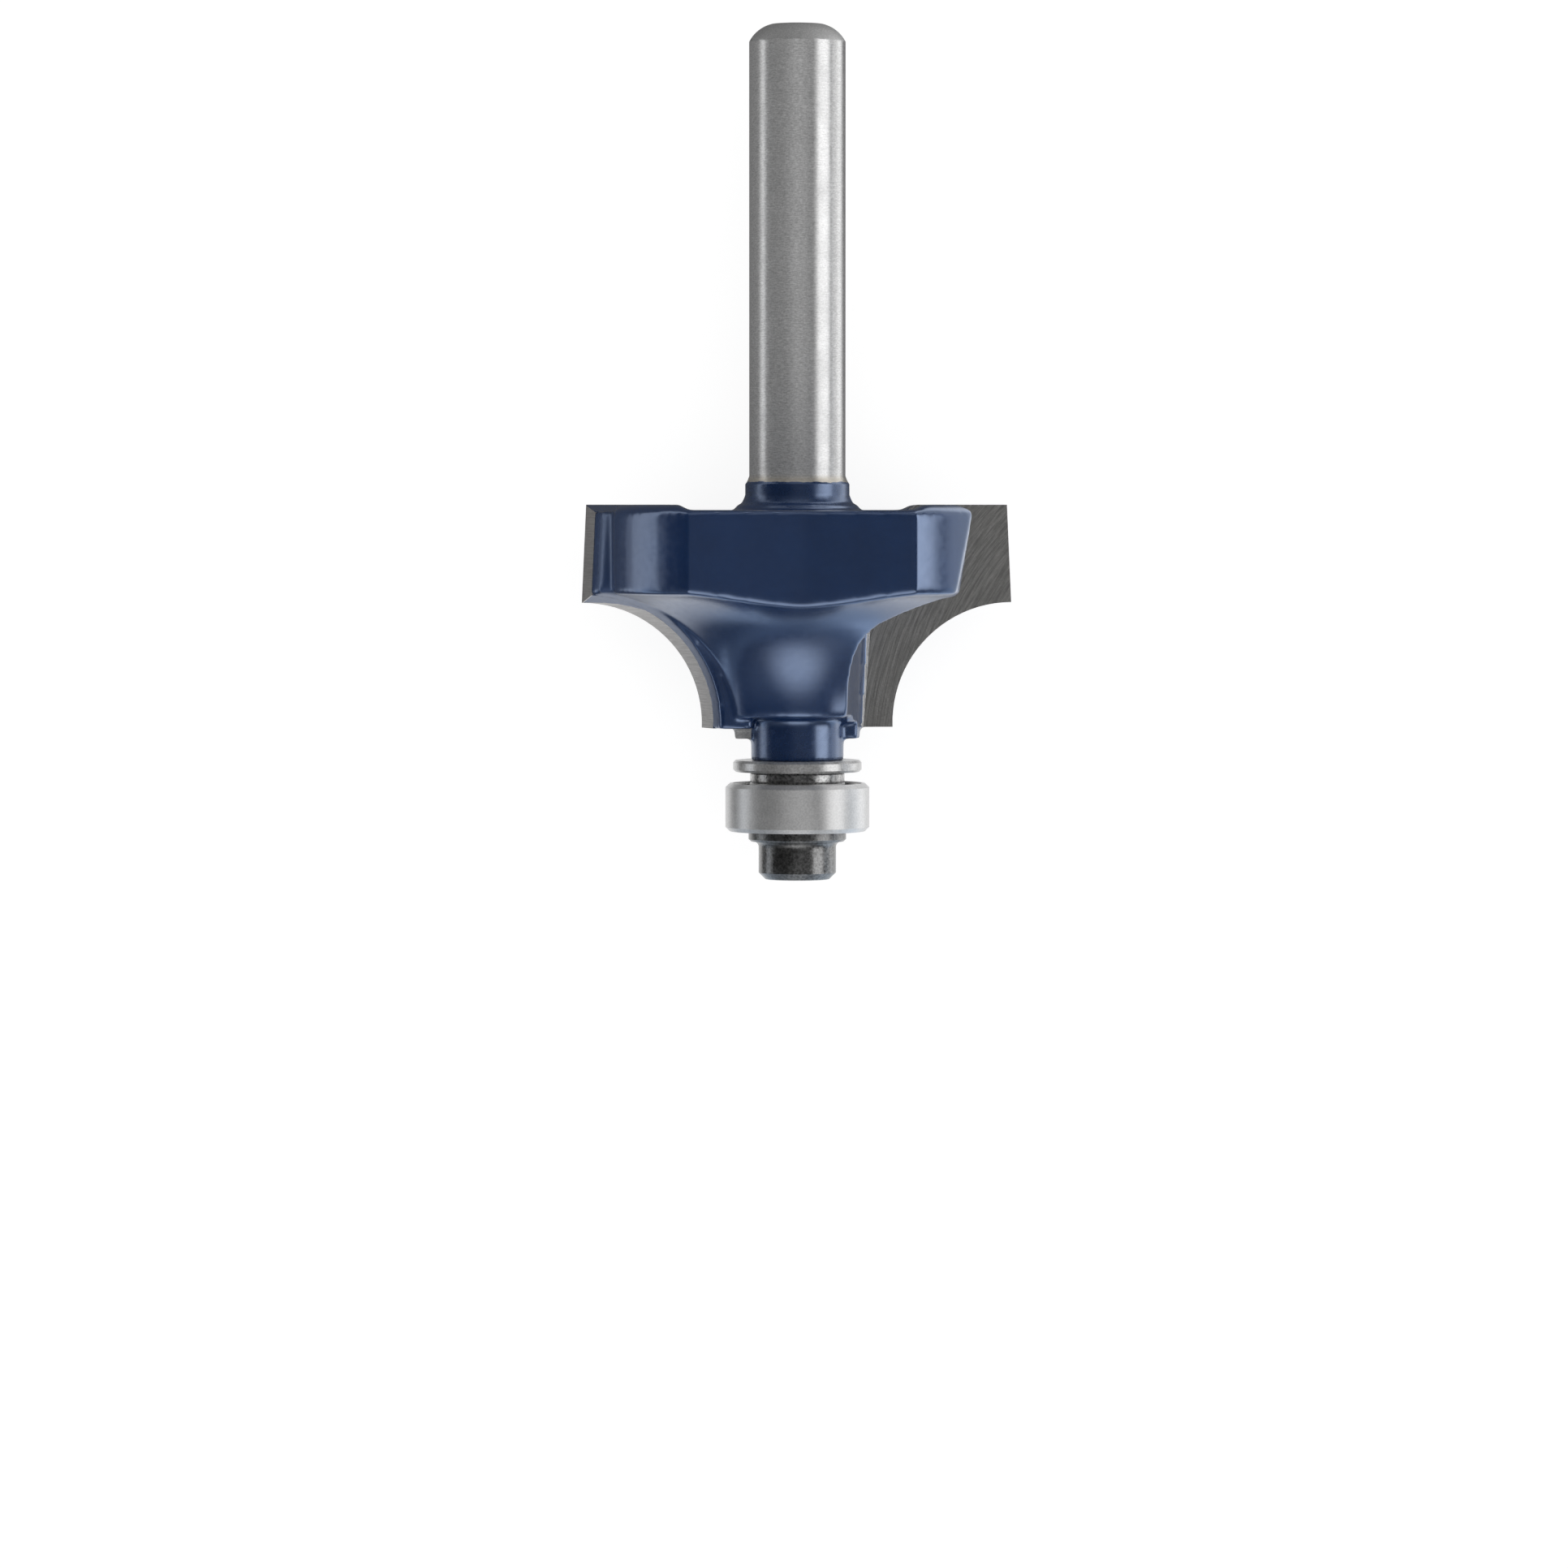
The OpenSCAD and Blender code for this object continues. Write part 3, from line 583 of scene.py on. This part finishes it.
def make_carbide():
    """Ground carbide: arcs across the cutting face, fine lines along the reliefs, and paint."""
    nodes = Nodes("carbide")
    spot, _, height, _ = nodes.place()
    out, back = nodes.wing_place()
    face = nodes.zone((back, FACE_ZONE))
    squares = [nodes.maths("POWER", nodes.maths("SUBTRACT", value, middle), 2.0)
               for value, middle in zip((out, height), GRIND_AT)]
    around = nodes.maths("SQRT", nodes.add(*squares))
    arcs = nodes.new("ShaderNodeCombineXYZ", X=around, Y=nodes.times(out, GRIND_DRIFT)).outputs[0]
    coarse = nodes.noise(arcs, scale=6.0, detail=3.0, roughness=0.7)
    fine = nodes.noise(arcs, scale=18.0, roughness=0.6)
    lines = nodes.noise(spot, scale=1.0, detail=3.0, roughness=0.6, stretch=LINE_STRETCH)
    grain = nodes.noise(spot, scale=9.0, roughness=0.6)
    marks = nodes.add(nodes.times(coarse, GRIND_COARSE), nodes.times(fine, GRIND_FINE))
    flat = nodes.scaled(srgb(*CARBIDE_FACE), nodes.band(marks, *GRIND_REACH, *GRIND_LEVELS))
    # The reliefs' own ground lines, on a lighter level that is painted light
    side = nodes.scaled(srgb(*CARBIDE_SIDE_PAINTED_LIGHT), nodes.over(lines, *LINE_LEVELS))
    colour = nodes.scaled(nodes.mix(face, side, flat), nodes.over(grain, *CARBIDE_GRAIN))
    bump = nodes.relief(nodes.mix(face, lines, marks), CARBIDE_BUMP)
    metal = nodes.principled(Base_Color=colour, Metallic=1.0, Normal=bump,
                             Roughness=nodes.over(grain, *CARBIDE_ROUGH))

    level = nodes.add(height, nodes.times(back, TOP_SLOPE))
    channel = nodes.zone((height, PAINTED_CHANNEL), (out, PAINTED_CHANNEL_OUT))
    top = nodes.times(nodes.most(nodes.zone((level, PAINTED_TOP)), channel),
                      nodes.zone((back, PAINTED_BACK)))
    inward = nodes.new("ShaderNodeMapRange", Value=out, From_Min=EDGE_R,
                       From_Max=EDGE_R - BARE_RUN).outputs[0]
    bare = nodes.times(nodes.maths("POWER", inward, BARE_POWER), TIP_T)
    bare = nodes.add(bare, nodes.over(nodes.noise(spot, scale=1.2), -BARE_WAVE, BARE_WAVE))
    edge = nodes.add(out, nodes.times(back, EDGE_SLOPE))
    under = nodes.maths("SUBTRACT", height, nodes.times(back, COVE_SLOPE))
    cove = nodes.zone((nodes.maths("SUBTRACT", back, bare), PAINTED_COVE), (edge, PAINTED_EDGE),
                      (under, PAINTED_UNDER))
    return nodes.finish(nodes.mixed(nodes.most(top, cove), metal, blue_paint(nodes)))


def make_metal(name, level, roughness, spread=0.04, grain_scale=9.0, grain=(0.88, 1.12), bump=1.5,
               tint=(1.0, 1.0, 1.0), coarse=0.0, streak=0.8, share=METAL_SHARE):
    """A metal with fine grain, lathe rings and soft clouds of wear. See METALS for its numbers."""
    nodes = Nodes(name)
    spot = nodes.place()[0]
    fine = nodes.noise(spot, scale=grain_scale, detail=3.0, roughness=0.65)
    rings = nodes.noise(spot, scale=1.0, detail=3.0, roughness=0.7, stretch=LATHE_STRETCH)
    clouds = nodes.noise(spot, scale=0.8, detail=3.0, roughness=0.6)
    pits = nodes.noise(spot, scale=grain_scale * PIT_SCALE)
    base = tuple(a * b for a, b in zip(grey(level), tint))
    colour = nodes.scaled(base, nodes.over(fine, *grain))
    wear = spread * CLOUD_SPREAD
    colour = nodes.scaled(colour, nodes.over(clouds, 1 - wear, 1 + wear))
    rough = nodes.add(nodes.over(clouds, roughness - spread, roughness + spread),
                      nodes.over(fine, -spread, spread))
    height = nodes.add(nodes.times(rings, LATHE_RINGS), fine, nodes.times(pits, coarse))
    metal = turned_metal(nodes, colour, rough, nodes.relief(height, bump), streak, share)
    return nodes.finish(metal)


def paint(obj, material):
    obj.data.materials.clear()
    obj.data.materials.append(material)


def painted_floor_reflection(nodes):
    """The painted light and shade that metal and paint mirror on the floor: its brightness and its
    colour.
    """
    coords = nodes.new("ShaderNodeTexCoord").outputs["Object"]
    across, along, _ = nodes.new("ShaderNodeSeparateXYZ", Vector=coords).outputs
    side = nodes.zone((across, FLOOR_LEFT_ACROSS), (along, FLOOR_LEFT_ALONG))
    pilot = nodes.zone((across, FLOOR_PILOT_ACROSS), (along, FLOOR_PILOT_ALONG),
                       (along, FLOOR_LEFT_ALONG))
    left = nodes.add(nodes.most(nodes.times(side, FLOOR_LEFT - FLOOR_DIM),
                                nodes.times(pilot, FLOOR_LEFT)), FLOOR_DIM)
    side = nodes.zone((across, FLOOR_RIGHT_ACROSS), (along, FLOOR_RIGHT_ALONG))
    patch = nodes.zone((across, FLOOR_PATCH_INNER), (across, FLOOR_PATCH_OUTER))
    right = nodes.add(nodes.times(side, FLOOR_RIGHT), nodes.times(patch, FLOOR_PATCH))
    near = nodes.zone((along, FLOOR_FRONT_ALONG), (across, FLOOR_FRONT_ACROSS),
                      (along, FLOOR_FRONT_NEAR))
    far = nodes.zone((along, FLOOR_FRONT_NEAR[::-1]))
    front = nodes.add(nodes.times(near, FLOOR_FRONT), nodes.times(far, FLOOR_FRONT_FAR))
    colour = nodes.mix(nodes.zone((along, FLOOR_TINT_ALONG)), WHITE, FLOOR_TINT)
    return nodes.most(left, right, front), colour


def make_floor():
    """A white floor that glows as a backdrop and keeps its shadow; metal and paint mirror painted
    light on it.
    """
    mesh = bpy.data.meshes.new("floor")
    r = FLOOR_HALF
    mesh.from_pydata([(-r, -r, 0), (r, -r, 0), (r, r, 0), (-r, r, 0)], [], [(0, 1, 2, 3)])
    floor = add_object("floor", mesh)
    nodes = Nodes("floor")
    path = nodes.new("ShaderNodeLightPath").outputs
    mirrored = nodes.most(path["Is Glossy Ray"], path["Is Transmission Ray"])
    level, colour = painted_floor_reflection(nodes)
    # Painted reflection: a glow that only metal and paint see, made of painted light and shade, not
    # a lamp
    image = nodes.new("ShaderNodeEmission", Color=colour, Strength=level).outputs[0]
    seen = nodes.times(path["Is Camera Ray"], FLOOR_GLOW)
    glow = nodes.new("ShaderNodeEmission", Color=WHITE, Strength=seen).outputs[0]
    matt = nodes.new("ShaderNodeBsdfDiffuse", Color=(FLOOR_MATT, FLOOR_MATT, FLOOR_MATT, 1))
    both = nodes.fed("ShaderNodeAddShader", {}, glow, matt.outputs[0]).outputs[0]
    material = nodes.finish(nodes.mixed(mirrored, both, image))
    material.cycles.emission_sampling = "NONE"
    paint(floor, material)


def make_world():
    """A white studio: soft boxes that metal and paint mirror, over an even light for the rest."""
    world = bpy.data.worlds.new("studio")
    nodes = Nodes("studio", world)
    bpy.context.scene.world = world
    world.cycles.sampling_method = "NONE"
    towards = nodes.new("ShaderNodeTexCoord").outputs["Generated"]
    x, y, z = nodes.new("ShaderNodeSeparateXYZ", Vector=towards).outputs
    around = nodes.maths("DEGREES", nodes.maths("ARCTAN2", x, z))
    along = nodes.maths("DEGREES", nodes.maths("ARCSINE", y))
    gloss = GLOSS_LEVEL
    for low, high, edge, near, far, end, radiance in SOFT_BOXES:
        box = nodes.zone((around, (low - edge, low + edge)), (around, (high + edge, high - edge)),
                         (along, (near - end, near + end)), (along, (far + end, far - end)))
        gloss = nodes.add(gloss, nodes.times(box, radiance))
    middle = (0, -math.sin(FRONT_ANGLE), math.cos(FRONT_ANGLE))
    facing = nodes.fed("ShaderNodeVectorMath", {"operation": "DOT_PRODUCT"}, towards, middle)
    away = nodes.maths("DEGREES", nodes.maths("ARCCOSINE", facing.outputs["Value"]))
    gloss = nodes.add(gloss, nodes.times(nodes.zone((away, FRONT_LIMITS)), FRONT_RADIANCE))
    path = nodes.new("ShaderNodeLightPath").outputs
    mirrored = nodes.most(path["Is Glossy Ray"], path["Is Transmission Ray"])
    level = nodes.new("ShaderNodeMix", {"data_type": "FLOAT"}, Factor=mirrored, A=WORLD_LEVEL,
                      B=gloss)
    level = nodes.most(level.outputs[0], path["Is Camera Ray"])
    nodes.finish(nodes.new("ShaderNodeBackground", Color=WHITE, Strength=level).outputs[0])


def make_lamp():
    """A large soft lamp overhead, which lights the matt colours and lays a soft shadow."""
    data = bpy.data.lights.new("overhead", "AREA")
    data.shape = "DISK"
    data.size = LAMP_SIZE
    data.energy = LAMP_RADIANCE * math.pi * math.pi * (LAMP_SIZE / 2) ** 2
    lamp = add_object("overhead", data)
    out = Vector(LAMP_PLACE)
    aim = out.to_track_quat("Z", "Y").to_matrix().to_4x4()
    lamp.matrix_world = Matrix.Translation(out) @ aim
    lamp.visible_camera = False
    lamp.visible_glossy = False


@contextmanager
def edited(mesh):
    """A mesh opened as a bmesh, and written back at the end."""
    bm = bmesh.new()
    bm.from_mesh(mesh)
    yield bm
    bm.to_mesh(mesh)
    bm.free()


def object_from(name, bm):
    """An object with a bmesh's faces, all turned outward."""
    bmesh.ops.recalc_face_normals(bm, faces=bm.faces)
    mesh = bpy.data.meshes.new(name)
    bm.to_mesh(mesh)
    bm.free()
    return add_object(name, mesh)


def solid_copy(obj):
    """A welded copy of a CAD node's mesh, in millimetres."""
    mesh = obj.data.copy()
    mesh.transform(Matrix.Scale(1 / MM, 4))
    with edited(mesh) as bm:
        bmesh.ops.remove_doubles(bm, verts=bm.verts, dist=WELD)
    return add_object(obj.name + "_copy", mesh)


def cut_above(obj, height):
    """Takes off what lies above a height along the bit, and caps the cut."""
    with edited(obj.data) as bm:
        bmesh.ops.bisect_plane(bm, geom=bm.verts[:] + bm.edges[:] + bm.faces[:],
                               plane_co=Vector((0, height - HALF_LENGTH, 0)), plane_no=(0, 1, 0),
                               clear_outer=True)
        bmesh.ops.holes_fill(bm, edges=[e for e in bm.edges if e.is_boundary])
        bmesh.ops.triangulate(bm, faces=[f for f in bm.faces if len(f.verts) > 4])


def apply_all(obj):
    """Replaces an object's mesh by what its modifiers make of it."""
    graph = bpy.context.evaluated_depsgraph_get()
    mesh = bpy.data.meshes.new_from_object(obj.evaluated_get(graph))
    obj.modifiers.clear()
    obj.data = mesh


def combine(obj, other, operation):
    change = obj.modifiers.new("combine", "BOOLEAN")
    change.operation = operation
    change.solver = "MANIFOLD"
    change.object = other
    apply_all(obj)


def grown(obj, amount):
    """Moves a small solid's faces outward."""
    with edited(obj.data) as bm:
        bm.normal_update()
        moves = []
        for v in bm.verts:
            normals = []
            for f in v.link_faces:
                if all(f.normal.dot(n) < SAME_FACE for n in normals):
                    normals.append(f.normal.copy())
            moves.append(sum(normals, Vector()) * amount)
        for v, move in zip(bm.verts, moves):
            v.co += move


def lathe(name, profile, sides):
    """A closed solid of revolution about the bit's axis, from points of radius and height."""
    bm = bmesh.new()
    rings = []
    for r, z in profile:
        angles = [2 * math.pi * i / sides for i in range(sides)]
        rings.append([bm.verts.new(row_point(r * math.cos(a), r * math.sin(a), z) / MM)
                      for a in angles])
    for low, high in zip(rings, rings[1:]):
        for i in range(sides):
            j = (i + 1) % sides
            bm.faces.new((low[i], low[j], high[j], high[i]))
    bm.faces.new(rings[0][::-1])
    bm.faces.new(rings[-1])
    return object_from(name, bm)


def bulge(start, end, radius, steps, side):
    """Points from start to end on an arc, bulging from the axis or, with side -1, towards it."""
    chord = (Vector(end) - Vector(start)).length
    out = Vector((end[1] - start[1], start[0] - end[0])) / chord * side
    centre = (Vector(start) + Vector(end)) / 2 - out * math.sqrt(radius ** 2 - chord ** 2 / 4)
    first, last = (math.degrees(math.atan2(p[1] - centre.y, p[0] - centre.x)) for p in (start, end))
    turn = (last - first + 180) % 360 - 180
    angles = [math.radians(first + turn * i / steps) for i in range(steps + 1)]
    return [(centre[0] + radius * math.cos(a), centre[1] + radius * math.sin(a)) for a in angles]


def shank_solid():
    """The bare round shank with its crowned end chamfer, and the neck and collar at its foot."""
    top = 2 * HALF_LENGTH
    lip_half, lip_depth, lip_r, lip_steps = LIP
    bow_in, bow_up, bow_r, bow_steps = BOW
    profile = [(SHANK_R - NECK_CORE, NECK_Z - NECK_DEPTH), (NECK_R, NECK_Z - NECK_DEPTH)]
    profile += bulge((NECK_R, NECK_Z), (COLLAR_R, COLLAR_Z), NECK_FLARE_R, NECK_FLARE_STEPS, -1)
    profile += [(COLLAR_R, COLLAR_Z + (COLLAR_TOP_Z - COLLAR_Z) * i / COLLAR_STEPS)
                for i in range(1, COLLAR_STEPS)]
    profile += bulge((COLLAR_R, COLLAR_TOP_Z - lip_half),
                     (COLLAR_R - lip_depth, COLLAR_TOP_Z + lip_half), lip_r, lip_steps, 1)
    profile += bulge((COLLAR_R - bow_in, COLLAR_TOP_Z + bow_up), (SHANK_R, SHANK_Z), bow_r,
                     bow_steps, -1)
    profile = [(r + NECK_COAT, z) if z < SHANK_Z else (r, z) for r, z in profile]
    length = top - CHAMFER_H - CHAMFER_GAP - SHANK_Z
    profile += [(SHANK_R, SHANK_Z + length * i / SHANK_STEPS) for i in range(1, SHANK_STEPS + 1)]
    profile += bulge((SHANK_R, top - CHAMFER_H), (SHANK_R - CHAMFER_W, top), CROWN_R,
                     CROWN_STEPS, 1)
    profile.append((SHANK_R - CHAMFER_W - CROWN_FLAT, top))
    made = lathe("shank", profile, SHANK_SIDES)
    for v in made.data.vertices:
        if v.co.y + HALF_LENGTH < COLLAR_TOP_Z + DENT_TOP:
            dent = sum(share * noise.noise(v.co * scale) for scale, share in DENT_NOISES)
            axis = Vector((0, v.co.y, AXIS_HEIGHT))
            v.co += (v.co - axis).normalized() * dent * DENT
    return made


def ramp(value, full, none):
    """1 at full and past it, 0 at none and past it, and a straight line between."""
    return max(0.0, min(1.0, (none - value) / (none - full)))


def wing_spot(v):
    """A vertex by its place along the nearer wing, behind it and in height, and the wing's side."""
    x, height, y = v.co.x, v.co.y + HALF_LENGTH, AXIS_HEIGHT - v.co.z
    out, back = x * WING_COS + y * WING_SIN, y * WING_COS - x * WING_SIN
    side = 1 if out > 0 else -1
    return out * side, back * side, height, side


def coat_share(out, back, height):
    """How much of the coat's rounding a place gets: less at the wings' thin feet."""
    return 1.0 - (1.0 - FOOT_SHARE) * ramp(height, *FOOT_REACH)


def extra_share(out, back, height):
    """Where the coat gathers and rounds more: corners, grooves, facets and the foot's shoulder."""
    if TIP_ROOM_BACK[0] < back < TIP_ROOM_BACK[1] and out > TIP_ROOM_OUT:
        return 0.0
    groove = ramp(math.hypot(out - GROOVE[0], back - GROOVE[1]), *GROOVE_REACH)
    lobe = LOBE_SHARE * ramp(math.hypot(out - LOBE_CORNER[0], back - LOBE_CORNER[1]), *LOBE_REACH)
    lobe *= ramp(abs(height - LOBE_MIDDLE_Z), *LOBE_HEIGHT_REACH)
    edge = ramp(min(abs(height - TOP_Z), abs(height - LOBE_FOOT_Z)), *EDGE_REACH)
    edge *= EDGE_SHARE * ramp(math.hypot(out, back), *EDGE_OUT_REACH)
    pedestal = PEDESTAL_SHARE * ramp(abs(height - PEDESTAL_Z), *PEDESTAL_REACH)
    pedestal *= ramp(abs(out), *PEDESTAL_OUT_REACH)
    facet = max(ramp(math.hypot(out - a, back - b), *FACET_REACH) for a, b in FACET_EDGES)
    return max(groove, lobe, edge, pedestal, facet)


def clear_feet(body):
    """Clears the room between the stem and the front of each wing's foot."""
    low, high = FOOT_ROOM[2]
    for side in (1, -1):
        bm = bmesh.new()
        for out in FOOT_ROOM[0]:
            for back in FOOT_ROOM[1]:
                x, y = out * WING_COS - back * WING_SIN, out * WING_SIN + back * WING_COS
                for z in (low, high):
                    bm.verts.new(row_point(side * x, side * y, z) / MM)
        bmesh.ops.convex_hull(bm, input=bm.verts)
        room = object_from("room", bm)
        stem = lathe("stem", [(STEM_R, low - ROOM_STEM_OVER), (STEM_R, high + ROOM_STEM_OVER)],
                     ROOM_STEM_SIDES)
        combine(room, stem, "DIFFERENCE")
        combine(body, room, "DIFFERENCE")
        bpy.data.objects.remove(stem)
        bpy.data.objects.remove(room)


def flatten_strips(body):
    """Puts the bare strip beside each tip back into the plane of the cutting face."""
    for v in body.data.vertices:
        out, back, height, side = wing_spot(v)
        edge = TIP_INNER_R + (height - TIP_Z) * TIP_LEAN_SLOPE
        near = abs(back) < STRIP_REACH and TIP_Z < height < STRIP_FLAT_TOP
        if near and edge - STRIP_IN < out < edge + STRIP_OUT:
            move = (-STRIP_DEPTH - back) * side
            v.co.x -= move * WING_SIN
            v.co.z -= move * WING_COS


def soften(body, share, passes):
    """Smooths a body by a share that depends on the place along a wing, behind it and in height."""
    group = body.vertex_groups.new(name="soft")
    for v in body.data.vertices:
        out, back, height, _ = wing_spot(v)
        weight = share(out, back, height)
        if weight > 0:
            group.add([v.index], weight, "REPLACE")
    change = body.modifiers.new("soft", "SMOOTH")
    change.vertex_group = "soft"
    change.factor = SMOOTH_FACTOR
    change.iterations = passes
    apply_all(body)
    body.vertex_groups.clear()
    with edited(body.data) as bm:
        for layer in list(bm.verts.layers.deform):
            bm.verts.layers.deform.remove(layer)


def shells_of(bm):
    """The faces of a bmesh in groups that hang together."""
    seen = set()
    for start in bm.faces:
        if start in seen:
            continue
        seen.add(start)
        shell = [start]
        for face in shell:
            for near in (f for edge in face.edges for f in edge.link_faces):
                if near not in seen:
                    seen.add(near)
                    shell.append(near)
        yield shell


def keep_main_shell(body):
    """Leaves out the slivers and the folded faces that the cuts left."""
    with edited(body.data) as bm:
        bmesh.ops.triangulate(bm, faces=bm.faces)
        bmesh.ops.remove_doubles(bm, verts=bm.verts, dist=WELD)
        bmesh.ops.dissolve_degenerate(bm, dist=WELD, edges=bm.edges)
        bm.verts.index_update()
        twins = {}
        for face in bm.faces:
            twins.setdefault(tuple(sorted(v.index for v in face.verts)), []).append(face)
        folded = [face for group in twins.values() if len(group) > 1 for face in group]
        bmesh.ops.delete(bm, geom=folded, context="FACES")
        for shell in sorted(shells_of(bm), key=len)[:-1]:
            bmesh.ops.delete(bm, geom=shell, context="FACES")


def coated_body(frame):
    """The cutter body with the rounded edges of its thick coat, cut clean where the tips sit."""
    nodes = frame["nodes"]
    body = solid_copy(nodes["cutter_body"])
    tips = [solid_copy(nodes[name]) for name in ("carbide_tip_1", "carbide_tip_2")]
    cut_above(body, COLLAR_Z - SHANK_OVERLAP)
    clear_feet(body)
    for tip in tips:
        combine(body, tip, "UNION")
    shape = body.modifiers.new("shape", "REMESH")
    shape.mode = "VOXEL"
    shape.voxel_size = COAT_VOXEL
    apply_all(body)
    soften(body, coat_share, COAT_SMOOTHING)
    soften(body, extra_share, EXTRA_SMOOTHING)
    flatten_strips(body)
    for tip in tips:
        grown(tip, TIP_GAP)
        combine(body, tip, "DIFFERENCE")
    shank = shank_solid()
    combine(body, shank, "UNION")
    keep_main_shell(body)
    for extra in [*tips, shank]:
        bpy.data.objects.remove(extra)
    body.name = "coated_body"
    body.data.transform(Matrix.Scale(MM, 4))
    body.data.shade_smooth()
    body.data.set_sharp_from_angle(angle=math.radians(SHARP_ANGLE))
    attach(body, "bit")
    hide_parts("cutter_body")
    return body


def main():
    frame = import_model()
    bpy.context.scene.view_settings.view_transform = "Standard"
    make_camera()
    make_world()
    make_floor()
    make_lamp()

    coat = make_blue_coat()
    paint(coated_body(frame), coat)
    looks = {start: make_metal(**numbers) for start, numbers in METALS.items()}
    looks.update(cutter_body=coat, carbide=make_carbide())
    for name, obj in frame["nodes"].items():
        paint(obj, looks[max((start for start in looks if name.startswith(start)), key=len)])


main()
